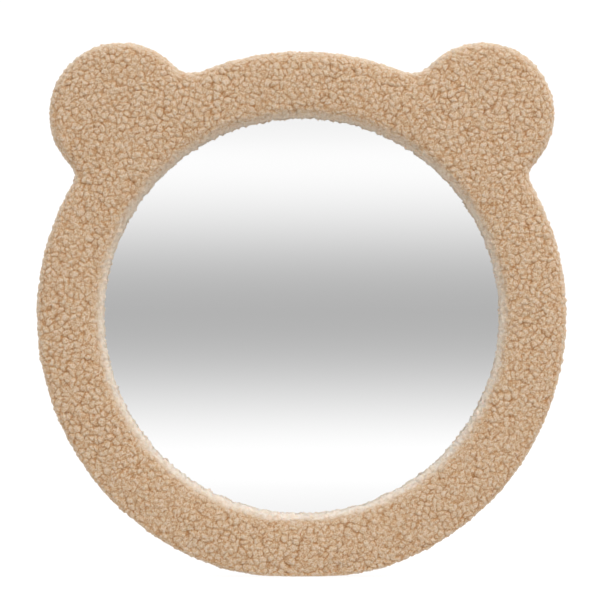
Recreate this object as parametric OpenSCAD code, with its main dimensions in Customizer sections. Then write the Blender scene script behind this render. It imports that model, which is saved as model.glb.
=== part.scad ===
// Wall mirror with a bear-head outline: a round mirror in a fabric-covered frame with two round ears.
// Z is up and the mirror faces -Y. The wall is the plane Y = 0, and the origin is the centre of the
// mirror on the wall. Every layer is drawn flat with the wall at Z = 0, then tipped up by stand_up().

/* [Bear outline] */
// Radius of the head, over the pile
head_r = 170; // [160:1:180]
// Radius of each ear, over the pile
ear_r = 45; // [42:1:50]
// Sideways distance of the ear centres from the middle
ear_x = 117.2; // [114:0.2:120]
// Height of the ear centres above the mirror centre
ear_z = 130.8; // [128:0.2:134]
// Radius of the hollow between head and ear on the crown
crown_notch_r = 19; // [14:1:22]
// Radius of the hollow between head and ear at the side
side_notch_r = 12; // [8:1:14]
// Distance of the flat bottom edge below the mirror centre
bottom_drop = 166.7; // [164:0.1:168]

/* [Mirror] */
// Radius of the mirror that shows inside the pile
view_r = 128; // [120:1:130]
// Thickness of the glass
glass_t = 3; // [2:0.5:4]
// How far the glass runs out behind the frame board
glass_lap = 7.5; // [6:0.5:8]
// Thickness of the silvering and its protective paint
silver_t = 0.1; // [0.1:0.05:0.2]

/* [Frame board] */
// Thickness of the frame board
board_t = 12; // [9:1:15]
// Depth of the rear rebate that takes the glass
rebate_t = 6; // [5.5:0.5:7]
// Gap around the glass in its rebate
glass_gap = 1; // [0.5:0.5:1.5]

/* [Soft cover] */
// Thickness of the pile fabric
pile_t = 5.5; // [4:0.5:7]
// Thickness of the wadding on the front of the board
wadding_t = 4; // [2:0.5:6]
// Thickness of the wadding around the outer edge of the board
edge_wadding_t = 2; // [1:0.5:3]
// Thickness of the fabric where it is pulled flat behind the board
return_t = 1.5; // [1:0.5:2]
// Width of the fabric pulled over the back of the board
return_w = 17.5; // [14:0.5:18]

/* [Back panel] */
// Thickness of the back panel
panel_t = 3; // [2:0.5:4]
// Distance of the panel edge inside the outline
panel_inset = 9; // [8:1:12]
// Distance of staples and panel screws inside the outline
fixing_inset = 16.5; // [15:0.5:18]

/* [Wall pads] */
// Diameter of each wall pad
pad_d = 12; // [8:1:14]
// Thickness of each wall pad
pad_t = 5.5; // [5.5:0.5:8]

/* [Hangers] */
// Width of the strap of each hanger
strap_w = 9; // [8:0.5:10]
// Thickness of the strap
strap_t = 0.8; // [0.8:0.1:1]
// Length of the strap below its loop
strap_l = 32; // [31:1:34]
// Diameter of the ring wire
wire_d = 2.2; // [1.8:0.1:2.2]
// Clearance around the wire in the strap loop
wire_gap = 0.25; // [0.2:0.05:0.3]
// Half width of the ring, to the middle of the wire
ring_r = 8; // [7:0.5:9]
// Length of the straight sides of the ring
ring_side = 2; // [1:0.5:3]
// Sideways distance of each hanger from the middle
hanger_x = 108; // [104:1:112]
// Height of the ring hinge above the mirror centre
hinge_z = 147; // [144:1:150]

/* [Fasteners] */
// Diameter of the screw shanks
shank_d = 2.9; // [2.4:0.1:3]
// Diameter of the screw heads
head_d = 6.4; // [5.5:0.1:7]
// Length of the back panel screws under the head
panel_screw_l = 14; // [12:1:15]
// Length of the hanger screws under the head
hanger_screw_l = 12; // [10:1:14]
// Width of a staple crown
staple_w = 10; // [8:1:12]
// Length of a staple leg
staple_leg = 6; // [5:1:8]

/* [Hidden] */
$fn = 96;

// Distances from the wall to each layer
panel_z = pad_t;
return_z = panel_z + panel_t;
board_z = return_z + return_t;
rebate_z = board_z + rebate_t;
glass_z = rebate_z - return_t - glass_t;
board_front_z = board_z + board_t;
wadding_front_z = board_front_z + wadding_t;
front_z = wadding_front_z + pile_t;

// Radii of the round layers
board_inset = pile_t + edge_wadding_t;
board_hole_r = view_r + pile_t + 1;
glass_r = board_hole_r + glass_lap;
rebate_r = glass_r + glass_gap;
return_inset = board_inset + return_w;

// The rounded shoulder of the cover, as steps of [inset, height]
shoulder = [[0, 0], [1.2, 4], [3.8, 7], [8, 9]];
shoulder_z = front_z - shoulder[3][1];

// Places of the fixings, as angles around the head centre and the ear centre
head_staples = [for (a = [-200:20:20]) a];
crown_staples = [70, 110];
ear_staples = [-40, 5, 95, 140];
head_screws = [for (a = [-190:40:10]) a];
crown_screw = 90;
ear_screw = 50;
hanger_screw_drops = [17.5, 27];
staple_t = 0.7;
hole_d = shank_d + 0.3;

// Places of the four wall pads
pad_spots = [[88, -124], [132, 128]];

// The strap loop and the ring
loop_in_r = wire_d / 2 + wire_gap;
loop_out_r = loop_in_r + strap_t;
hinge_y = panel_z - loop_out_r;
bend_r = 2;

slack = 0.04;
tiny = 0.01;

// Point at an angle and a distance from the origin
function polar(r, a) = [r * cos(a), r * sin(a)];

ear_at = [ear_x, ear_z];
ear_far = norm(ear_at);

// Centre of the circle of radius f that touches both head and ear, below or above the line between them
function notch_at(f, turn) =
    let (along = ((head_r + f) ^ 2 - (ear_r + f) ^ 2 + ear_far ^ 2) / (2 * ear_far),
         across = sqrt((head_r + f) ^ 2 - along ^ 2),
         dir = ear_at / ear_far)
    along * dir + turn * across * [dir[1], -dir[0]];

side_notch = notch_at(side_notch_r, 1);
crown_notch = notch_at(crown_notch_r, -1);

// The five points that bridge head and ear before the notches are cut
web = [0.6 * side_notch, side_notch, ear_at, crown_notch, 0.6 * crown_notch];

// Places of all the fixings behind the board on one fixing line, as [x, z, angle]
fixing_r = head_r - fixing_inset;
ear_fixing_r = ear_r - fixing_inset;
function on_head(a) = [each polar(fixing_r, a), a];
function on_ear(a, side) =
    let (p = ear_at + polar(ear_fixing_r, a))
    [side * p[0], p[1], side > 0 ? a : 180 - a];
staples = [for (a = concat(head_staples, crown_staples)) on_head(a),
           for (side = [-1, 1], a = ear_staples) on_ear(a, side)];
panel_screws = [for (a = concat(head_screws, [crown_screw])) on_head(a),
                for (side = [-1, 1]) on_ear(ear_screw, side)];
hanger_holes = [for (side = [-1, 1], drop = hanger_screw_drops) [side * hanger_x, hinge_z - drop, 0]];

// Tips a layer that lies flat on the wall plane up into place
module stand_up() {
    rotate([90, 0, 0]) children();
}

module at_each(places) {
    for (p = places) translate([p[0], p[1], 0]) rotate([0, 0, p[2]]) children();
}

module both_sides() {
    children();
    mirror([1, 0, 0]) children();
}

// One ear with its two filleted notches, all moved out by grow
module ear_outline(grow) {
    difference() {
        union() {
            translate(ear_at) circle(ear_r + grow);
            polygon(web);
        }
        translate(side_notch) circle(side_notch_r - grow - slack);
        translate(crown_notch) circle(crown_notch_r - grow - slack);
    }
}

// The bear outline, moved out by grow
module bear(grow) {
    difference() {
        union() {
            circle(head_r + grow);
            ear_outline(grow);
            mirror([1, 0]) ear_outline(grow);
        }
        translate([-head_r, -bottom_drop - grow - head_r]) square([2 * head_r, head_r]);
    }
}

module bear_plate(grow, z, t) {
    translate([0, 0, z]) linear_extrude(t) bear(grow);
}

module disc(r, z, t) {
    translate([0, 0, z]) cylinder(r = r, h = t);
}

// One ear that tapers from one inset to the next
module ear_taper(from, to, t) {
    difference() {
        union() {
            translate([each ear_at, 0]) cylinder(r1 = ear_r - from, r2 = ear_r - to, h = t);
            linear_extrude(t) polygon(web);
        }
        translate([each side_notch, -tiny])
            cylinder(r1 = side_notch_r + from - slack, r2 = side_notch_r + to - slack, h = t + 2 * tiny);
        translate([each crown_notch, -tiny])
            cylinder(r1 = crown_notch_r + from - slack, r2 = crown_notch_r + to - slack, h = t + 2 * tiny);
    }
}

// The whole outline as a slice that tapers from one inset to the next
module bear_taper(from, to, t) {
    difference() {
        union() {
            cylinder(r1 = head_r - from, r2 = head_r - to, h = t);
            both_sides() ear_taper(from, to, t);
        }
        translate([-head_r, -bottom_drop + from - head_r, -tiny]) cube([2 * head_r, head_r, t + 2 * tiny]);
    }
}

module staple_solid() {
    translate([-staple_t / 2, -staple_w / 2, 0]) cube([staple_t, staple_w, staple_t]);
    for (side = [-1, 1])
        translate([-staple_t / 2, side * (staple_w - staple_t) / 2 - staple_t / 2, 0])
            cube([staple_t, staple_t, staple_t + staple_leg]);
}

// A pan head wood screw that points away from the wall, with its head seat at height 0
module wood_screw(length) {
    seat_h = 1.1;
    crown_h = 0.5;
    slot_w = 1;
    slot_l = 3.4;
    tip_h = 3;
    difference() {
        union() {
            translate([0, 0, -seat_h]) cylinder(d = head_d, h = seat_h);
            translate([0, 0, -seat_h - crown_h]) cylinder(d1 = head_d - 1.6, d2 = head_d, h = crown_h);
            cylinder(d = shank_d, h = length - tip_h);
            translate([0, 0, length - tip_h]) cylinder(d1 = shank_d, d2 = 0.6, h = tip_h);
        }
        for (turn = [0, 90])
            rotate([0, 0, turn + 20])
                translate([-slot_l / 2, -slot_w / 2, -seat_h - crown_h - tiny]) cube([slot_l, slot_w, 1]);
    }
}

// Clearance and pilot holes for the screws, between two distances from the wall
module screw_holes(places, from, to) {
    at_each(places) translate([0, 0, from]) cylinder(d = hole_d, h = to - from);
}

// Pile fabric over the front, the edges and the inner wall, with its turned-in returns
module sherpa_cover() {
    color([0.77, 0.65, 0.53])
    stand_up() difference() {
        union() {
            bear_plate(0, return_z, shoulder_z - return_z);
            for (i = [0:2])
                translate([0, 0, shoulder_z + shoulder[i][1]])
                    bear_taper(shoulder[i][0], shoulder[i + 1][0], shoulder[i + 1][1] - shoulder[i][1]);
        }
        disc(view_r, return_z - tiny, front_z);
        disc(rebate_r, return_z - tiny, glass_z + glass_t - return_z + tiny);
        bear_plate(-return_inset, return_z - tiny, return_t + tiny);
        difference() {
            bear_plate(-pile_t, board_z, rebate_z - board_z);
            disc(glass_r, board_z - tiny, rebate_z - board_z + 2 * tiny);
        }
        difference() {
            bear_plate(-pile_t, rebate_z, wadding_front_z - rebate_z);
            disc(board_hole_r, rebate_z - tiny, wadding_front_z - rebate_z + 2 * tiny);
        }
        translate([0, 0, return_z]) at_each(staples) staple_solid();
        screw_holes(panel_screws, return_z - tiny, board_z + tiny);
    }
}

// Polyester wadding on the front and the outer edge of the board
module front_wadding() {
    color([0.95, 0.95, 0.93])
    stand_up() difference() {
        bear_plate(-pile_t, board_z, wadding_front_z - board_z);
        bear_plate(-board_inset, board_z - tiny, board_t + tiny);
        disc(board_hole_r, board_z, wadding_front_z);
    }
}

// The board that the fabric is pulled over, with a rebate for the glass
module frame_board() {
    color([0.72, 0.56, 0.38])
    stand_up() difference() {
        bear_plate(-board_inset, board_z, board_t);
        disc(board_hole_r, board_z - tiny, board_t + 2 * tiny);
        disc(rebate_r, board_z - tiny, rebate_t + tiny);
        translate([0, 0, return_z]) at_each(staples) staple_solid();
        screw_holes(panel_screws, board_z - tiny, panel_z + panel_screw_l + 1);
        screw_holes(hanger_holes, board_z - tiny, panel_z - strap_t + hanger_screw_l + 1);
    }
}

// Staples that hold the fabric to the back of the board
module cover_staples() {
    color([0.75, 0.75, 0.76])
    stand_up() translate([0, 0, return_z]) at_each(staples) staple_solid();
}

module mirror_glass() {
    color([0.86, 0.9, 0.9])
    stand_up() disc(glass_r, glass_z, glass_t);
}

// The silvering and its paint, on the back of the glass
module mirror_back_paint() {
    color([0.55, 0.57, 0.58])
    stand_up() disc(glass_r - 0.5, glass_z - silver_t, silver_t);
}

// Foam that presses the glass forward against the fabric
module glass_backing_pad() {
    color([0.93, 0.93, 0.91])
    stand_up() disc(glass_r, return_z, glass_z - silver_t - return_z);
}

// Hardboard that closes the back
module back_panel() {
    color([0.42, 0.28, 0.18])
    stand_up() difference() {
        bear_plate(-panel_inset, panel_z, panel_t);
        screw_holes(concat(panel_screws, hanger_holes), panel_z - tiny, return_z + tiny);
    }
}

module back_panel_screws() {
    color([0.78, 0.76, 0.68])
    stand_up() translate([0, 0, panel_z]) at_each(panel_screws) wood_screw(panel_screw_l);
}

// Rubber pads that keep the mirror off the wall
module wall_pads() {
    edge_h = 0.8;
    color([0.16, 0.16, 0.16])
    stand_up() both_sides() for (spot = pad_spots) translate([each spot, 0]) {
        cylinder(d1 = pad_d - 2 * edge_h, d2 = pad_d, h = edge_h);
        translate([0, 0, edge_h]) cylinder(d = pad_d, h = pad_t - edge_h);
    }
}

// A steel strap folded into a loop at its top end
module hanger_strap() {
    end_r = strap_w / 2;
    translate([hanger_x, hinge_z, 0]) difference() {
        union() {
            translate([0, 0, hinge_y]) rotate([0, 90, 0]) cylinder(r = loop_out_r, h = strap_w, center = true);
            translate([-end_r, end_r - strap_l, panel_z - strap_t]) cube([strap_w, strap_l - end_r, strap_t]);
            translate([0, end_r - strap_l, panel_z - strap_t]) cylinder(r = end_r, h = strap_t);
        }
        translate([0, 0, hinge_y]) rotate([0, 90, 0]) cylinder(r = loop_in_r, h = strap_w + 1, center = true);
        for (drop = hanger_screw_drops)
            translate([0, -drop, panel_z - strap_t - tiny]) cylinder(d = hole_d, h = strap_t + 2 * tiny);
    }
}

module hanger_strap_right() {
    color([0.8, 0.79, 0.74]) stand_up() hanger_strap();
}

module hanger_strap_left() {
    color([0.8, 0.79, 0.74]) stand_up() mirror([1, 0, 0]) hanger_strap();
}

module hanger_screws() {
    color([0.78, 0.76, 0.68])
    stand_up() translate([0, 0, panel_z - strap_t]) at_each(hanger_holes) wood_screw(hanger_screw_l);
}

// Wire bend of the ring: part of a circle of wire, around its own centre
module wire_bend(radius, angle) {
    rotate_extrude(angle = angle) translate([radius, 0]) circle(d = wire_d, $fn = 32);
}

// A closed ring of round wire that hangs down from its straight bar
module d_ring() {
    bar_l = 2 * (ring_r - bend_r);
    translate([hanger_x, hinge_z, hinge_y]) {
        rotate([0, 90, 0]) cylinder(d = wire_d, h = bar_l, center = true, $fn = 32);
        for (side = [0, 1]) mirror([side, 0, 0]) {
            translate([ring_r - bend_r, -bend_r, 0]) wire_bend(bend_r, 90);
            translate([ring_r, -bend_r, 0]) rotate([90, 0, 0]) cylinder(d = wire_d, h = ring_side, $fn = 32);
        }
        translate([0, -bend_r - ring_side, 0]) rotate([0, 0, 180]) wire_bend(ring_r, 180);
    }
}

module d_ring_right() {
    color([0.83, 0.82, 0.78]) stand_up() d_ring();
}

module d_ring_left() {
    color([0.83, 0.82, 0.78]) stand_up() mirror([1, 0, 0]) d_ring();
}

sherpa_cover();
front_wadding();
frame_board();
cover_staples();
mirror_glass();
mirror_back_paint();
glass_backing_pad();
back_panel();
back_panel_screws();
wall_pads();
hanger_strap_left();
hanger_strap_right();
hanger_screws();
d_ring_left();
d_ring_right();
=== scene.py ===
"""Looks of the bear-shaped wall mirror, built around its CAD frame.

Everything is in metres, Z up. The mirror faces -Y and the wall plane is Y = 0.
The soft cover is one mesh: an even skin over the bear outline, raised into curls of pile.
"""

import itertools
import math

import bpy
import numpy as np
from mathutils import Euler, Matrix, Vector, kdtree


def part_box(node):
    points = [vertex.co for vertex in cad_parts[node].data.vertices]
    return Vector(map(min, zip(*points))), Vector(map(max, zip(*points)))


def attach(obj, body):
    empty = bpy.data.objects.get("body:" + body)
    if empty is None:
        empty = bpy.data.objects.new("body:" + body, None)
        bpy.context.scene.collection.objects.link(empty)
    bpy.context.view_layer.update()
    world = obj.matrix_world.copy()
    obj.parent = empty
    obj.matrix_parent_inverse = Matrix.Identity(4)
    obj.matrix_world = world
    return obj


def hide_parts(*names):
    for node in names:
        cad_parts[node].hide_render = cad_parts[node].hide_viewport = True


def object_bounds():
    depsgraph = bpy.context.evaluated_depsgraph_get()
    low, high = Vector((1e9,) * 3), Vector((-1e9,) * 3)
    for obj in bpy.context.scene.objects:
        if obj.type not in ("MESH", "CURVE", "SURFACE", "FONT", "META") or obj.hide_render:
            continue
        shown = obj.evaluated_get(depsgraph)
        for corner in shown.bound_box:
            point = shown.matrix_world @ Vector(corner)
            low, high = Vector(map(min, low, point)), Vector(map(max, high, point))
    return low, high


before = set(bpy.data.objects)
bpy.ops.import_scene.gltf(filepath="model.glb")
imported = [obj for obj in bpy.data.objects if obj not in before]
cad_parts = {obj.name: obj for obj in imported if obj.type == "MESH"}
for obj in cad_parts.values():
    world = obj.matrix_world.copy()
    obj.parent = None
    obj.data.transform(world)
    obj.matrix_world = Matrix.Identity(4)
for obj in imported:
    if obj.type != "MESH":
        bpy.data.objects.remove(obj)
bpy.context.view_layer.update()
rng = np.random.default_rng(7)

# ---------------------------------------------------------------- sizes

cover_low, cover_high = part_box("sherpa_cover")
glass_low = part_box("mirror_glass")[0]

# The bear outline, the same as the CAD cover's
HEAD_R = 0.170
EAR_R = 0.045
EAR_AT = np.array([0.1172, 0.1308])
CROWN_NOTCH_R = 0.019
SIDE_NOTCH_R = 0.012
VIEW_R = 0.128
BOTTOM_DROP = -cover_low.z

FRONT_Y = cover_low.y
BACK_Y = cover_high.y
GLASS_Y = glass_low.y

# How the edges of the padded frame are rounded. The front one shrinks towards the flat bottom.
FRONT_OUTER_ROUND = 0.009
LOW_FRONT_ROUND = 0.0028
FRONT_INNER_ROUND = 0.0078
BACK_OUTER_ROUND = 0.0035
BOTTOM_ROUND = 0.0032

# How the padding swells, simulated as cloth on a coarse copy
CLOTH_STEP = 0.0055
CLOTH_START_IN = 0.0006
CLOTH_PRESSURE = 4
CLOTH_FRAMES = 20
CLOTH_HOLD = 0.004
CLOTH_REACH = 0.004
SWELL_CAP = 0.0016

# The pile
SKIN_STEP = 0.0005
SKIN_OUT = 0.0013
SKIN_HOLE_R = VIEW_R + 0.0014
BLANK_POINTS = 1440
SEED_TRIES = 90000
TUFT_GAP = 0.0034
TUFT_HEIGHT = 0.0014
FUZZ = 0.00015
TUFTS_NEAR = 7
SEED_JITTER = 0.0004
WARP = 0.0009
CREASE_WIDTH = 0.0012
# Width of the painted shade along the creases
CREASE_SHADE_WIDTH = 0.0011
PRESSED_IN = 0.0004
RIM_WIDTH = 0.0055
SOFT_WIDTH = 0.011
# How far the painted highlight at the glass reaches
RIM_HIGHLIGHT_WIDTH = 0.0026
SEEN_RETURN = 0.0125
RETURN_INSET = 0.0245
RETURN_T = 0.0014
LINING_INSET = 0.0054
LINING_FRONT_Y = FRONT_Y + 0.0054
LINING_INNER_R = VIEW_R + 0.0064


# ---------------------------------------------------------------- camera

DISTANCE = 1.6
WIDTH_SEEN = 0.3864
SEEN_CENTRE = Vector((-0.0011, FRONT_Y, 0.0104))


def stage_camera():
    data = bpy.data.cameras.new("camera")
    data.sensor_width = 36
    data.lens = data.sensor_width * DISTANCE / WIDTH_SEEN
    camera = bpy.data.objects.new("camera", data)
    camera.location = SEEN_CENTRE - Vector((0, DISTANCE, 0))
    camera.rotation_euler = (math.radians(90), 0, 0)
    bpy.context.scene.collection.objects.link(camera)
    bpy.context.scene.camera = camera


stage_camera()


# ---------------------------------------------------------------- outline

def notch_at(radius, turn):
    """Centre of the circle of that radius that touches both head and ear."""
    far = np.linalg.norm(EAR_AT)
    along = ((HEAD_R + radius) ** 2 - (EAR_R + radius) ** 2 + far**2) / (2 * far)
    across = math.sqrt((HEAD_R + radius) ** 2 - along**2)
    way = EAR_AT / far
    return along * way + turn * across * np.array([way[1], -way[0]])


NOTCHES = ((notch_at(SIDE_NOTCH_R, 1), SIDE_NOTCH_R), (notch_at(CROWN_NOTCH_R, -1), CROWN_NOTCH_R))


def cross(ax, az, bx, bz):
    return ax * bz - az * bx


def outline_distance(x, z):
    """Distance to the bear outline, negative inside it."""
    x = np.abs(x)
    gap = np.minimum(np.hypot(x, z) - HEAD_R, np.hypot(x - EAR_AT[0], z - EAR_AT[1]) - EAR_R)
    for (nx, nz), radius in NOTCHES:
        px, pz = x - nx, z - nz
        ear_x, ear_z = EAR_AT[0] - nx, EAR_AT[1] - nz
        between = cross(-nx, -nz, px, pz) * cross(ear_x, ear_z, px, pz) < 0
        towards = px * (ear_x - nx) + pz * (ear_z - nz) > 0
        same_side = cross(*EAR_AT, x, z) * cross(*EAR_AT, nx, nz) > 0
        wedge = between & towards & same_side
        gap = np.where(wedge, radius - np.hypot(px, pz), gap)
    return round_max(gap, -z - BOTTOM_DROP, BOTTOM_ROUND)


def round_max(a, b, radius):
    """The larger of two distances, with the corner between them rounded."""
    outside = np.hypot(np.maximum(a + radius, 0), np.maximum(b + radius, 0))
    return np.minimum(np.maximum(a, b) + radius, 0) + outside - radius


def outline_radius(angles):
    """How far the outline is from the centre at each angle."""
    low, high = np.full(len(angles), 0.15), np.full(len(angles), 0.25)
    for _ in range(40):
        middle = (low + high) / 2
        inside = outline_distance(middle * np.cos(angles), middle * np.sin(angles)) < 0
        low, high = np.where(inside, middle, low), np.where(inside, high, middle)
    return low


def cover_distance(p):
    """Distance to the surface of the padded frame, negative inside it."""
    x, y, z = p[:, 0], p[:, 1], p[:, 2]
    outer = outline_distance(x, z) - SKIN_OUT
    inner = SKIN_HOLE_R - np.hypot(x, z)
    front, back = FRONT_Y - y, y - BACK_Y
    height = np.clip(0.5 + z / HEAD_R / 2, 0, 1)
    front_round = LOW_FRONT_ROUND + (FRONT_OUTER_ROUND - LOW_FRONT_ROUND) * height
    edges = np.maximum(round_max(outer, front, front_round), round_max(outer, back, BACK_OUTER_ROUND))
    return np.maximum(edges, round_max(inner, front, FRONT_INNER_ROUND))


def slope(field, p, step=2e-5):
    """Unit direction in which a distance grows fastest."""
    out = np.empty_like(p)
    for axis in range(p.shape[1]):
        shift = np.zeros(p.shape[1])
        shift[axis] = step
        out[:, axis] = field(p + shift) - field(p - shift)
    return out / np.maximum(np.linalg.norm(out, axis=1, keepdims=True), 1e-12)


# ---------------------------------------------------------------- noise

# A turn about all three axes, so that the lattice of the noise is square to nothing
TURNED = np.array(Euler((0.6, 0.9, 0.4)).to_matrix())


def smooth_noise(points, size, seed):
    """Smooth noise from -1 to 1, with lumps about that size."""
    table = np.random.default_rng(seed).uniform(-1, 1, (48, 48, 48))
    q = points @ TURNED / size
    cell = np.floor(q).astype(int)
    t = q - cell
    t = t * t * (3 - 2 * t)
    total = np.zeros(len(points))
    for corner in itertools.product((0, 1), repeat=3):
        weight = np.prod(np.where(corner, t, 1 - t), axis=1)
        i, j, k = ((cell + corner) % 48).T
        total += weight * table[i, j, k]
    return total


# ---------------------------------------------------------------- skin of the cover

def new_mesh(name, points, faces):
    mesh = bpy.data.meshes.new(name)
    mesh.from_pydata([tuple(p) for p in points], [], faces)
    mesh.update()
    obj = bpy.data.objects.new(name, mesh)
    bpy.context.scene.collection.objects.link(obj)
    return obj


def blank():
    """A square-edged ring of the bear outline, ready to be remeshed evenly."""
    count = BLANK_POINTS
    angles = np.arange(count) * 2 * math.pi / count
    radii, hole = outline_radius(angles), np.full(count, VIEW_R)
    rings = [(radii, FRONT_Y), (radii, BACK_Y), (hole, BACK_Y), (hole, FRONT_Y)]
    points = [(r * math.cos(a), y, r * math.sin(a)) for rr, y in rings for r, a in zip(rr, angles)]
    faces = []
    for k in range(4):
        for i in range(count):
            j = (i + 1) % count
            a, b = k * count, (k + 1) % 4 * count
            faces.append((a + i, b + i, b + j, a + j))
    return new_mesh("blank", points, faces)


def coordinates(mesh):
    points = np.empty(len(mesh.vertices) * 3, np.float32)
    mesh.vertices.foreach_get("co", points)
    return points.reshape(-1, 3).astype(float)


def even_skin():
    """Points and square faces of an even mesh over the blank."""
    obj = blank()
    remesh = obj.modifiers.new("even", "REMESH")
    remesh.mode = "VOXEL"
    remesh.voxel_size = SKIN_STEP
    shaped = obj.evaluated_get(bpy.context.evaluated_depsgraph_get()).to_mesh()
    points = coordinates(shaped)
    corners = np.empty(len(shaped.loops), np.int32)
    shaped.loops.foreach_get("vertex_index", corners)
    bpy.data.objects.remove(obj)
    return points, corners.reshape(-1, 4)


def visible_skin():
    """The skin from under the back panel, round the outside and over the front, to the glass."""
    points, faces = even_skin()
    for _ in range(5):
        points -= slope(cover_distance, points) * cover_distance(points)[:, None]
    inset = -outline_distance(points[:, 0], points[:, 2])
    round_r = np.hypot(points[:, 0], points[:, 2])
    under_panel = (points[:, 1] > BACK_Y - 0.002) & (inset > SEEN_RETURN)
    behind_glass = (round_r < SKIN_HOLE_R + 0.003) & (points[:, 1] > GLASS_Y)
    faces = without_pinches(faces[(~under_panel & ~behind_glass)[faces].all(axis=1)])
    used, faces = np.unique(faces, return_inverse=True)
    return points[used], faces.reshape(-1, 4)


# ---------------------------------------------------------------- padding

def swelling():
    """Points of a coarse copy of the cover, and how far each moves when the padding pushes it out.

    The copy is cloth under pressure, held at its back edge and where it meets the glass.
    """
    obj = blank()
    remesh = obj.modifiers.new("coarse", "REMESH")
    remesh.mode = "VOXEL"
    remesh.voxel_size = CLOTH_STEP
    mesh = bpy.data.meshes.new_from_object(obj.evaluated_get(bpy.context.evaluated_depsgraph_get()))
    obj.modifiers.clear()
    obj.data = mesh
    start = coordinates(mesh)
    for _ in range(5):
        start -= slope(cover_distance, start) * (cover_distance(start) + CLOTH_START_IN)[:, None]
    mesh.vertices.foreach_set("co", start.astype(np.float32).ravel())
    mesh.update()
    in_hole = np.hypot(start[:, 0], start[:, 2]) < VIEW_R + CLOTH_HOLD
    at_glass = in_hole & (start[:, 1] > GLASS_Y - CLOTH_HOLD)
    held = (start[:, 1] > BACK_Y - CLOTH_HOLD) | at_glass
    obj.vertex_groups.new(name="held").add(np.flatnonzero(held).tolist(), 1.0, "REPLACE")
    cloth = obj.modifiers.new("cloth", "CLOTH").settings
    cloth.use_pressure = True
    cloth.uniform_pressure_force = CLOTH_PRESSURE
    cloth.vertex_group_mass = "held"
    cloth.effector_weights.gravity = 0
    for number in range(1, CLOTH_FRAMES + 1):
        bpy.context.scene.frame_set(number)
    shaped = obj.evaluated_get(bpy.context.evaluated_depsgraph_get()).to_mesh()
    moved = coordinates(shaped) - start
    bpy.context.scene.frame_set(1)
    bpy.data.objects.remove(obj)
    length = np.linalg.norm(moved, axis=1, keepdims=True) + 1e-9
    return start, moved * SWELL_CAP * np.tanh(length / SWELL_CAP) / length


def swell(points):
    """How far each point of the fine skin moves with the padding."""
    start, moved = swelling()
    near = nearest(start, points, 8)
    weight = np.exp(-((points[:, None] - start[near]) ** 2).sum(2) / CLOTH_REACH**2)
    return (moved[near] * weight[..., None]).sum(1) / (weight.sum(1, keepdims=True) + 1e-9)


# ---------------------------------------------------------------- tufts of pile

def scatter(points, gaps, order):
    """Indices of points picked so that no two are nearer than their gap."""
    cell = gaps.max()
    grid, picked = {}, []
    for i in order:
        p, gap = points[i], gaps[i]
        home = tuple((p // cell).astype(int))
        near = (grid.get((home[0] + a, home[1] + b, home[2] + c), ()) for a, b, c in AROUND)
        if all(abs(p - q).max() >= gap or ((p - q) ** 2).sum() >= gap * gap for group in near for q in group):
            grid.setdefault(home, []).append(p)
            picked.append(i)
    return np.array(picked)


AROUND = list(itertools.product((-1, 0, 1), repeat=3))


def nearest(seeds, points, count):
    """Indices of the nearest seeds to each point, nearest first."""
    tree = kdtree.KDTree(len(seeds))
    for i, s in enumerate(seeds):
        tree.insert(s, i)
    tree.balance()
    return np.array([[hit[1] for hit in tree.find_n(p, count)] for p in points])


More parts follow.
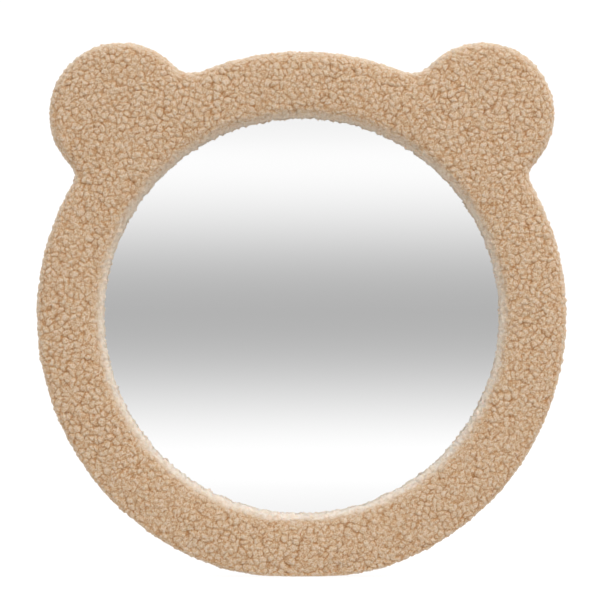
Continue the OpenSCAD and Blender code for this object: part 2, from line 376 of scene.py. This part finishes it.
def pile(points, normals, turned, soft):
    """Height of the pile over the skin, a tone with painted shade in its creases and at its tuft edges, and
    each tuft's tint.

    The seeds are thrown so that none is too near another. Each carries a dome, a little longer one
    way than the other, and a crease lies wherever two domes meet. turned is 1 where the pile turns
    in to the mirror, and soft is 1 where its creases fade.
    """
    patch = smooth_noise(points, 0.022, 11)
    gaps = TUFT_GAP * (1 + 0.15 * patch) * rng.uniform(0.68, 1.27, len(points))
    order = rng.permutation(len(points))[:SEED_TRIES]
    seeds_at = scatter(points, gaps, order)
    seeds = points[seeds_at] + rng.normal(scale=SEED_JITTER, size=(len(seeds_at), 3))
    warp = np.stack([smooth_noise(points, 0.003, 20 + k) for k in range(3)], axis=1)
    warped = points + WARP * warp
    near = nearest(seeds, warped, TUFTS_NEAR)
    size = 0.68 * TUFT_GAP * rng.uniform(0.8, 1.2, len(seeds))
    height = TUFT_HEIGHT * rng.uniform(0.8, 1.15, len(seeds))
    way = rng.normal(size=(len(seeds), 3))
    way -= (way * normals[seeds_at]).sum(1, keepdims=True) * normals[seeds_at]
    way /= np.linalg.norm(way, axis=1, keepdims=True)
    stretch = rng.uniform(1.0, 1.6, len(seeds))
    away = warped[:, None] - seeds[near]
    along = (away * way[near]).sum(2)
    across = (away**2).sum(2) - along**2
    reach = (along / (size[near] * stretch[near])) ** 2 + across * stretch[near] / size[near] ** 2
    rise = height[near] * (1.3 - reach)
    rank = np.argsort(-rise, axis=1)
    rows = np.arange(len(points))
    owner = near[rows, rank[:, 0]]
    gap = rise[rows, rank[:, 0]] - rise[rows, rank[:, 1]]
    spread = np.clip(reach[rows, rank[:, 0]], 0, 1.5)
    dome = height[owner] * np.sqrt(np.clip(1 - 0.65 * spread, 0.04, 1))
    depth = np.clip(0.85 + 0.5 * smooth_noise(points, 0.0035, 31), 0.2, 1.25)
    shoulder = np.clip((normals[:, 1] + 0.95) / 0.6, 0, 1)
    depth *= (1 - 0.35 * shoulder) * (1 - 0.5 * soft)
    crease = depth * np.exp(-gap / CREASE_WIDTH)
    # How dark the painted crease shade is
    crease_shade = depth * np.exp(-((gap / CREASE_SHADE_WIDTH) ** 1.3))
    curls = (1 - np.abs(smooth_noise(warped, 0.0016, 41))) ** 3 - 0.4
    fibre = smooth_noise(points + 0.0006 * warp, 0.00105, 42)
    fuzz = rng.normal(size=len(points))
    ruffle = (FUZZ * fuzz + 0.0002 * curls + 0.00014 * fibre) * (1 + 0.8 * turned)
    fringe = 0.0009 * turned**2 * smooth_noise(points, 0.0021, 51)
    fringe += 0.0007 * shoulder * smooth_noise(points, 0.0019, 52)
    lift = dome - 0.35 * TUFT_HEIGHT * crease + ruffle + fringe
    # Painted shade: the tone is darker along the creases and towards each tuft's edge; curls, fibre and fuzz
    # add random tone
    tone_and_painted_light = 0.94 - 0.46 * crease_shade - 0.2 * spread + 0.15 * curls + 0.12 * fibre + 0.2 * fuzz
    count = np.maximum(np.bincount(owner, minlength=len(seeds)), 1)
    of_tuft = np.bincount(owner, tone_and_painted_light, len(seeds)) / count
    around = of_tuft[near].mean(axis=1)
    tone_and_painted_light -= 0.6 * (around - around.mean())
    tint = rng.uniform(0, 1, len(seeds))[owner]
    return lift - 0.9 * TUFT_HEIGHT, np.clip(tone_and_painted_light, 0, 1), tint


def cover_mesh():
    """The whole cover, with its pile, its lining, the attributes its material reads and its bake map."""
    skin, faces = visible_skin()
    normals = slope(cover_distance, skin)
    hole_gap = np.hypot(skin[:, 0], skin[:, 2]) - SKIN_HOLE_R + 0.0013 * smooth_noise(skin, 0.0026, 61)
    turned = np.clip(1 - hole_gap / RIM_WIDTH, 0, 1) ** 1.5
    rise = skin[:, 2] / VIEW_R
    soft = np.clip(1 - hole_gap / SOFT_WIDTH, 0, 1) * (1 - 0.8 * np.clip(1.2 * rise, 0, 1))
    lift, tone_and_painted_light, tint = pile(skin, normals, turned, soft)
    inset = -outline_distance(skin[:, 0], skin[:, 2])
    back_side = skin[:, 1] > BACK_Y - 0.001
    pressed = np.where(back_side, np.clip((inset - 0.006) / 0.003, 0, 1), 0)
    lift = lift * (1 - pressed) - PRESSED_IN * pressed
    stood_on = np.clip((-skin[:, 2] - BOTTOM_DROP + 0.0005) / 0.001, 0, 1)
    lift = lift * (1 - 0.75 * stood_on) + 0.0006 * stood_on
    shaped = skin + swell(skin) + normals * lift[:, None]
    # The pile turned in to the mirror is paler, partly as its own opened pile and partly as painted light
    # that is strongest towards the bottom of the opening; the top of that rim is lightened as painted light
    # against the shade under it
    pale = turned * np.clip(0.72 - 0.2 * rise - 0.4 * np.maximum(rise, 0), 0, 1)
    tone_and_painted_light += 0.2 * turned * np.clip(rise, 0, 1)
    upward = np.clip(0.5 + 0.8 * normals[:, 2], 0, 1)
    top_light = upward * np.clip((normals[:, 1] + 0.9) / 0.6, 0, 1) * (hole_gap > 0.02)
    pale += 0.25 * top_light
    tone_and_painted_light += 0.12 * top_light
    # Painted highlight: the pile at the glass is whitened, strongly at the bottom of the opening and hardly
    # at its top
    white = np.clip(1 - hole_gap / RIM_HIGHLIGHT_WIDTH, 0, 1) ** 0.7 * (0.31 - 0.28 * rise)
    white *= 0.8 + 0.7 * smooth_noise(skin, 0.0013, 62)
    lining, lining_faces, path = line_inside(shaped, faces)
    polygons = faces.tolist() + lining_faces
    obj = new_mesh("sherpa_pile", np.vstack([shaped, lining]), polygons)
    for name, values in (("tone_and_painted_light", tone_and_painted_light), ("tint", tint), ("pale", pale), ("white", white)):
        layer = obj.data.attributes.new(name, "FLOAT", "POINT")
        layer.data.foreach_set("value", np.append(values, np.full(len(lining), 0.4)).astype(np.float32))
    smooth = np.arange(len(polygons)) < len(faces)
    obj.data.polygons.foreach_set("use_smooth", smooth)
    bake_map(obj, skin, normals, lining, path, len(faces))
    return obj


def border_loops(faces):
    """The open edges of a mesh, walked round as loops of point numbers."""
    start, end = faces.ravel(), np.roll(faces, -1, axis=1).ravel()
    ways = set(zip(start.tolist(), end.tolist()))
    following = {a: b for a, b in ways if (b, a) not in ways}
    loops = []
    while following:
        here, after = following.popitem()
        loop = [here]
        while after != here:
            loop.append(after)
            after = following.pop(after)
        loops.append(np.array(loop))
    return loops


def without_pinches(faces):
    """Faces without those that meet the border at a single point."""
    while True:
        start, end = faces.ravel(), np.roll(faces, -1, axis=1).ravel()
        total = faces.max() + 1
        codes, back = start * total + end, end * total + start
        open_start = start[~np.isin(codes, back)]
        points, counts = np.unique(open_start, return_counts=True)
        pinched = points[counts > 1]
        if len(pinched) == 0:
            return faces
        faces = faces[~np.isin(faces, pinched).any(axis=1)]


def flat_distance(flat):
    return outline_distance(flat[:, 0], flat[:, 1])


def at_inset(points, inset):
    """Points moved across the outline until they are that far inside it."""
    flat = points[:, [0, 2]].copy()
    for _ in range(4):
        flat -= slope(flat_distance, flat) * (flat_distance(flat) + inset)[:, None]
    return flat


def line_inside(points, faces):
    """The unseen inside of the fabric, from the edge at the glass to the edge under the back panel."""
    loops = border_loops(faces)
    loops.sort(key=lambda loop: np.hypot(points[loop, 0], points[loop, 2]).mean())
    inner, outer = loops[0], loops[-1]
    points[inner, 1] = GLASS_Y - 0.00003
    made, ring_of, polygons = [], [], []

    def ring(flat, y, number):
        start = len(points) + sum(map(len, made))
        made.append(np.stack([flat[:, 0], np.broadcast_to(y, len(flat)), flat[:, 1]], axis=1))
        ring_of.append(np.full(len(flat), number))
        return start + np.arange(len(flat))

    def sew(a, b):
        a_next, b_next = np.roll(a, -1), np.roll(b, -1)
        polygons.extend(np.stack([a_next, a, b, b_next], axis=1).tolist())

    hole = points[inner][:, [0, 2]]
    hole *= LINING_INNER_R / np.linalg.norm(hole, axis=1, keepdims=True)
    low = ring(hole, points[inner, 1], 1)
    high = ring(hole, LINING_FRONT_Y, 2)
    sew(inner, low)
    sew(low, high)
    edge = points[outer]
    under = at_inset(edge, RETURN_INSET)
    side = at_inset(edge, LINING_INSET)
    chain = [outer, ring(under, BACK_Y - 0.0001, 6), ring(under, BACK_Y - RETURN_T, 5)]
    chain += [ring(side, BACK_Y - RETURN_T, 4), ring(side, LINING_FRONT_Y, 3)]
    for a, b in zip(chain, chain[1:]):
        sew(a, b)
    everything = np.vstack([points, *made])
    polygons.extend(bridge(everything, high, chain[-1]))
    return np.vstack(made), polygons, np.concatenate(ring_of)


def bridge(points, inner, outer):
    """Triangles between two rings of points about the centre that run opposite ways round."""
    def by_angle(ring):
        angles = np.arctan2(points[ring, 2], points[ring, 0])
        turn = np.unwrap(angles)
        if turn[-1] < turn[0]:
            ring, angles = ring[::-1], angles[::-1]
        first = int(np.argmin(angles))
        return np.roll(ring, -first), np.maximum.accumulate(np.unwrap(np.roll(angles, -first)))

    (a, angle_a), (b, angle_b) = by_angle(inner), by_angle(outer)
    i = j = 0
    triangles = []
    while i < len(a) or j < len(b):
        next_a = angle_a[i + 1] if i + 1 < len(a) else angle_a[0] + 2 * math.pi if i < len(a) else math.inf
        next_b = angle_b[j + 1] if j + 1 < len(b) else angle_b[0] + 2 * math.pi if j < len(b) else math.inf
        here_a, here_b = int(a[i % len(a)]), int(b[j % len(b)])
        if next_a <= next_b:
            i += 1
            triangles.append((here_a, here_b, int(a[i % len(a)])))
        else:
            j += 1
            triangles.append((here_a, here_b, int(b[j % len(b)])))
    return triangles


# Where each part of the cover lies on its baked map, in metres on a square sheet
MAP_SIDE = 0.535
MAP_WALL_R = 0.2265
MAP_LINING_R = (0.03, 0.1)


def bake_map(obj, skin, normals, lining, path, skin_faces):
    """Unfolds the cover for baking.

    Its front lies as seen, its outer wall and back as a ring around that, and its lining inside.
    """
    mesh = obj.data
    x, z = skin[:, 0], skin[:, 2]
    radius, angle = np.hypot(x, z), np.arctan2(z, x)
    inset = -outline_distance(x, z)
    deep = skin[:, 1] - FRONT_Y
    inside = radius - VIEW_R < inset
    front_r = np.where(inside, radius - deep, radius + deep)
    table = np.linspace(-math.pi, math.pi, 4001)
    edge = outline_radius(table)
    run = np.hypot(np.diff(edge * np.cos(table)), np.diff(edge * np.sin(table)))
    run = np.append(0, np.cumsum(run))
    wall_angle = np.interp(angle, table, run / run[-1] * 2 * math.pi - math.pi)
    wall_r = MAP_WALL_R + deep + np.where(normals[:, 1] > 0, 2 * inset, inset)
    low, high = MAP_LINING_R

    def lay(r, a):
        return 0.5 + np.stack([r * np.cos(a), r * np.sin(a)], axis=1) / MAP_SIDE

    lining_angle = np.arctan2(lining[:, 2], lining[:, 0])
    front = np.vstack([lay(front_r, angle), np.full((len(lining), 2), 0.5)])
    wall = np.vstack([lay(wall_r, wall_angle), np.full((len(lining), 2), 0.5)])
    border = np.where(inside, low, high)
    hidden = np.vstack([lay(border, angle), lay(low + (high - low) * path / 7, lining_angle)])
    corners = np.empty(len(mesh.loops), np.int32)
    mesh.loops.foreach_get("vertex_index", corners)
    sizes = np.empty(len(mesh.polygons), np.int32)
    mesh.polygons.foreach_get("loop_total", sizes)
    owner = np.repeat(np.arange(len(sizes)), sizes)
    is_wall = np.append((normals[:, 1] > -0.4) & ~inside, np.zeros(len(lining), bool))
    face_wall = np.zeros(len(sizes), bool)
    np.logical_or.at(face_wall, owner, is_wall[corners])
    uv = np.where(face_wall[owner, None], wall[corners], front[corners])
    uv[owner >= skin_faces] = hidden[corners[owner >= skin_faces]]
    layer = mesh.uv_layers.new(name="OFBake")
    layer.data.foreach_set("uv", uv.astype(np.float32).ravel())


# ---------------------------------------------------------------- materials

def linked(tree, kind, *sources, **settings):
    """A new node with its first inputs joined to the sources, and its settings."""
    node = tree.nodes.new(kind)
    for key, value in settings.items():
        setattr(node, key, value)
    for socket, source in zip(node.inputs, sources):
        if isinstance(source, (int, float)):
            socket.default_value = source
        else:
            tree.links.new(source, socket)
    return node.outputs[0]


def math_node(tree, operation, *sources):
    return linked(tree, "ShaderNodeMath", *sources, operation=operation)


class Nodes:
    """A short way to write a node material."""

    def __init__(self, name):
        self.material = bpy.data.materials.new(name)
        self.material.use_nodes = True
        self.tree = self.material.node_tree
        self.shader = self.tree.nodes["Principled BSDF"]

    def add(self, kind, **settings):
        node = self.tree.nodes.new(kind)
        for key, value in settings.items():
            if key in node.inputs:
                node.inputs[key].default_value = value
            else:
                setattr(node, key, value)
        return node

    def join(self, a, b):
        self.tree.links.new(a, b)


def colour(r, g, b):
    """A colour given as 8-bit screen values, as the linear colour that a shader takes."""
    def linear(v):
        v /= 255
        return v / 12.92 if v <= 0.04045 else ((v + 0.055) / 1.055) ** 2.4
    return (linear(r), linear(g), linear(b), 1)


def ramp(nodes, stops):
    node = nodes.add("ShaderNodeValToRGB")
    set_stops(node.color_ramp, stops)
    return node


def set_stops(ramp, stops):
    """Fill a colour ramp with (position, colour) stops."""
    while len(ramp.elements) < len(stops):
        ramp.elements.new(0.5)
    for element, (at, rgba) in zip(ramp.elements, stops):
        element.position = at
        element.color = rgba


def sherpa_material():
    n = Nodes("sherpa")
    place = n.add("ShaderNodeTexCoord")
    fibre = n.add("ShaderNodeTexNoise", Scale=900, Detail=2, Distortion=2)
    n.join(place.outputs["Object"], fibre.inputs["Vector"])
    tone_and_painted_light = n.add("ShaderNodeAttribute", attribute_name="tone_and_painted_light")
    ruffled = math_node(n.tree, "MULTIPLY_ADD", fibre.outputs["Fac"], 1.2, tone_and_painted_light.outputs["Fac"])
    # The tone with fibre noise picks the colour: darker and warmer in the creases as painted shade, paler on
    # the tuft tops
    height = math_node(n.tree, "SUBTRACT", ruffled, 0.65)
    tone = ramp(n, [(0.0, colour(186, 132, 80)), (0.3, colour(203, 158, 112)), (0.6, colour(218, 186, 151)),
                    (0.85, colour(228, 205, 179)), (1.0, colour(236, 218, 198))])
    n.join(height, tone.inputs["Fac"])
    tint = n.add("ShaderNodeAttribute", attribute_name="tint")
    shade = ramp(n, [(0, (0.793, 0.763, 0.727, 1)), (1, (0.823, 0.798, 0.767, 1))])
    n.join(tint.outputs["Fac"], shade.inputs["Fac"])
    mix = n.add("ShaderNodeMix", data_type="RGBA", blend_type="MULTIPLY")
    mix.inputs["Factor"].default_value = 1
    n.join(tone.outputs["Color"], mix.inputs["A"])
    n.join(shade.outputs["Color"], mix.inputs["B"])
    # Paler pile at the rim and on outer edges facing up, partly its own and partly painted light
    pale = n.add("ShaderNodeMix", data_type="RGBA")
    pale_and_painted_light = n.add("ShaderNodeAttribute", attribute_name="pale")
    n.join(pale_and_painted_light.outputs["Fac"], pale.inputs["Factor"])
    n.join(mix.outputs["Result"], pale.inputs["A"])
    pale.inputs["B"].default_value = colour(228, 209, 186)
    # Painted highlight where the pile meets the glass
    white = n.add("ShaderNodeMix", data_type="RGBA")
    rim_highlight = n.add("ShaderNodeAttribute", attribute_name="white")
    n.join(rim_highlight.outputs["Fac"], white.inputs["Factor"])
    n.join(pale.outputs["Result"], white.inputs["A"])
    white.inputs["B"].default_value = colour(240, 232, 224)
    n.join(white.outputs["Result"], n.shader.inputs["Base Color"])
    bump = n.add("ShaderNodeBump", Strength=0.9, Distance=0.001)
    n.join(fibre.outputs["Fac"], bump.inputs["Height"])
    n.join(bump.outputs["Normal"], n.shader.inputs["Normal"])
    n.shader.inputs["Roughness"].default_value = 0.95
    n.shader.inputs["Subsurface Weight"].default_value = 0.5
    n.shader.inputs["Subsurface Radius"].default_value = (1.0, 0.7, 0.5)
    n.shader.inputs["Subsurface Scale"].default_value = 0.0012
    n.shader.inputs["Specular IOR Level"].default_value = 0.15
    n.shader.inputs["Sheen Weight"].default_value = 0.4
    n.shader.inputs["Sheen Roughness"].default_value = 0.45
    n.shader.inputs["Sheen Tint"].default_value = (1, 0.97, 0.94, 1)
    return n.material


def mirror_material():
    n = Nodes("mirror")
    place = n.add("ShaderNodeTexCoord")
    haze = n.add("ShaderNodeTexNoise", Scale=9, Detail=2)
    n.join(place.outputs["Object"], haze.inputs["Vector"])
    rough = n.add("ShaderNodeMapRange")
    rough.inputs["To Min"].default_value = 0.0
    rough.inputs["To Max"].default_value = 0.02
    n.join(haze.outputs["Fac"], rough.inputs["Value"])
    n.join(rough.outputs["Result"], n.shader.inputs["Roughness"])
    n.shader.inputs["Metallic"].default_value = 1
    n.shader.inputs["Base Color"].default_value = (0.94, 0.94, 0.94, 1)
    return n.material


def grained(name, dark, light, scale, rough, bump=0.0, metallic=0.0, stretch=(1, 1, 1), detail=4):
    """A material of two near tones mixed by noise, with a roughness that varies a little and a fine bump."""
    n = Nodes(name)
    place = n.add("ShaderNodeTexCoord")
    fit = n.add("ShaderNodeMapping")
    fit.inputs["Scale"].default_value = stretch
    n.join(place.outputs["Object"], fit.inputs["Vector"])
    grain = n.add("ShaderNodeTexNoise", Scale=scale, Detail=detail)
    n.join(fit.outputs["Vector"], grain.inputs["Vector"])
    tone = ramp(n, [(0.3, colour(*dark)), (0.7, colour(*light))])
    n.join(grain.outputs["Fac"], tone.inputs["Fac"])
    n.join(tone.outputs["Color"], n.shader.inputs["Base Color"])
    spread = n.add("ShaderNodeMapRange")
    spread.inputs["To Min"].default_value = rough - 0.06
    spread.inputs["To Max"].default_value = rough + 0.06
    n.join(grain.outputs["Fac"], spread.inputs["Value"])
    n.join(spread.outputs["Result"], n.shader.inputs["Roughness"])
    if bump:
        relief = n.add("ShaderNodeBump", Strength=0.6, Distance=bump)
        n.join(grain.outputs["Fac"], relief.inputs["Height"])
        n.join(relief.outputs["Normal"], n.shader.inputs["Normal"])
    n.shader.inputs["Metallic"].default_value = metallic
    return n.material


def paint(obj, material):
    obj.data.materials.clear()
    obj.data.materials.append(material)


# ---------------------------------------------------------------- the object

cover = cover_mesh()
paint(cover, sherpa_material())
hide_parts("sherpa_cover")
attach(cover, "mirror")

def steel(name, dark, light, scale, rough, **more):
    return grained(name, dark, light, scale, rough, metallic=1, **more)


def strap_steel():
    return steel("strap_steel", (158, 158, 160), (190, 190, 192), 500, 0.3, stretch=(6, 6, 1))


def ring_steel():
    return steel("ring_steel", (176, 175, 172), (206, 205, 202), 700, 0.22)


zinc = steel("zinc_screw", (150, 150, 152), (188, 188, 190), 900, 0.34)
FINISHES = {
    "mirror_glass": mirror_material(),
    "mirror_back_paint": grained("grey_back_paint", (96, 98, 101), (112, 114, 117), 260, 0.55, 0.00004),
    "glass_backing_pad": grained("pad_foam", (206, 206, 203), (226, 226, 223), 900, 0.9, 0.0002),
    "front_wadding": grained("wadding", (226, 226, 224), (244, 244, 243), 320, 0.95, 0.0004),
    "frame_board": grained("board", (178, 150, 112), (200, 173, 134), 700, 0.8, 0.0001),
    "back_panel": grained("hardboard", (126, 92, 62), (160, 122, 86), 420, 0.62, 0.00012, detail=8),
    "cover_staples": steel("staple_steel", (164, 164, 166), (196, 196, 198), 900, 0.32),
    "back_panel_screws": zinc,
    "hanger_screws": zinc,
    "wall_pads": grained("pad_rubber", (34, 34, 35), (50, 50, 51), 1100, 0.72, 0.00006),
    "hanger_strap_left": strap_steel(),
    "hanger_strap_right": strap_steel(),
    "d_ring_left": ring_steel(),
    "d_ring_right": ring_steel(),
}
for node, finish in FINISHES.items():
    paint(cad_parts[node], finish)

# ---------------------------------------------------------------- stage

EYE_ABOVE_FLOOR = SEEN_CENTRE.z + BOTTOM_DROP
FLOOR_HALF = 60
FLOOR_GAP = 0.0002
BAND_DIP_DEG = 0.29
GLOW = 1.25
# Brightness of the band at each angle, in degrees, from its middle
BAND_STOPS = ((0, 0.475), (0.6, 0.50), (1.3, 0.62), (2.0, 0.81), (2.7, 0.97), (3.4, 1.07),
              (4.0, 1.0), (4.9, 0.86), (5.6, 1.1), (8, 1.12))


def band(tree, elevation):
    """The soft grey band of a studio card, as a brightness that changes with the elevation in degrees."""
    off = math_node(tree, "ABSOLUTE", math_node(tree, "ADD", elevation, BAND_DIP_DEG))
    widest = BAND_STOPS[-1][0]
    tone = tree.nodes.new("ShaderNodeValToRGB")
    tone.color_ramp.interpolation = "B_SPLINE"
    set_stops(tone.color_ramp, [(at / widest, (v / GLOW, v / GLOW, v / GLOW, 1)) for at, v in BAND_STOPS])
    tree.links.new(math_node(tree, "DIVIDE", off, widest), tone.inputs["Fac"])
    return tone.outputs["Color"]


def stage_floor():
    """A pale floor that falls off to grey far out in front, where only the mirror sees it."""
    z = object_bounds()[0][2] - FLOOR_GAP
    corners = [(-FLOOR_HALF, -FLOOR_HALF, z), (FLOOR_HALF, -FLOOR_HALF, z),
               (FLOOR_HALF, FLOOR_HALF, z), (-FLOOR_HALF, FLOOR_HALF, z)]
    floor = new_mesh("floor", corners, [(0, 1, 2, 3)])
    n = Nodes("floor")
    place = n.add("ShaderNodeNewGeometry")
    split = n.tree.nodes.new("ShaderNodeSeparateXYZ")
    n.join(place.outputs["Position"], split.inputs[0])
    ahead = math_node(n.tree, "MULTIPLY", split.outputs["Y"], -1)
    far = math_node(n.tree, "MAXIMUM", ahead, 0)
    drop = math_node(n.tree, "DIVIDE", -EYE_ABOVE_FLOOR, math_node(n.tree, "ADD", far, DISTANCE))
    angle = math_node(n.tree, "DEGREES", math_node(n.tree, "ARCTANGENT", drop))
    tone = band(n.tree, angle)
    dim = n.add("ShaderNodeMix", data_type="RGBA", blend_type="MULTIPLY")
    dim.inputs["Factor"].default_value = 1
    n.join(tone, dim.inputs["A"])
    dim.inputs["B"].default_value = (0.15, 0.15, 0.15, 1)
    n.join(dim.outputs["Result"], n.shader.inputs["Base Color"])
    # The floor glows with its tone: painted light that keeps it white with only a faint shadow and lights the
    # cover from below
    n.join(tone, n.shader.inputs["Emission Color"])
    n.shader.inputs["Emission Strength"].default_value = 0.86 * GLOW
    n.shader.inputs["Roughness"].default_value = 0.9
    n.shader.inputs["Specular IOR Level"].default_value = 0
    paint(floor, n.material)


def stage_world():
    """Even white light all round, with the soft grey band level with the mirror in front of it."""
    world = bpy.data.worlds.new("studio")
    bpy.context.scene.world = world
    world.use_nodes = True
    tree = world.node_tree
    place = tree.nodes.new("ShaderNodeTexCoord")
    split = linked(tree, "ShaderNodeSeparateXYZ", place.outputs["Generated"]).node
    angle = math_node(tree, "DEGREES", math_node(tree, "ARCSINE", split.outputs["Z"]))
    tone = band(tree, angle)
    behind = math_node(tree, "GREATER_THAN", split.outputs["Y"], -0.9)
    sky = tree.nodes.new("ShaderNodeValToRGB")
    set_stops(sky.color_ramp, [(0, (0.84, 0.84, 0.84, 1)), (0.4, (0.84, 0.84, 0.84, 1)), (1, (1, 1, 1, 1))])
    tree.links.new(split.outputs["Z"], sky.inputs["Fac"])
    mix = tree.nodes.new("ShaderNodeMix")
    mix.data_type = "RGBA"
    tree.links.new(behind, mix.inputs["Factor"])
    tree.links.new(tone, mix.inputs["A"])
    tree.links.new(sky.outputs["Color"], mix.inputs["B"])
    tree.links.new(mix.outputs["Result"], tree.nodes["Background"].inputs["Color"])
    tree.nodes["Background"].inputs["Strength"].default_value = GLOW


def softbox(name, place, target, size, power):
    light = bpy.data.lights.new(name, "AREA")
    light.shape = "RECTANGLE"
    light.size, light.size_y = size
    light.energy = power
    obj = bpy.data.objects.new(name, light)
    obj.location = place
    obj.rotation_euler = (Vector(target) - Vector(place)).to_track_quat("-Z", "Y").to_euler()
    bpy.context.scene.collection.objects.link(obj)


stage_floor()
stage_world()
softbox("key", (0.75, -1.1, 1.5), (0, 0, 0), (1.6, 1.4), 20)
bpy.context.scene.view_settings.view_transform = "Standard"
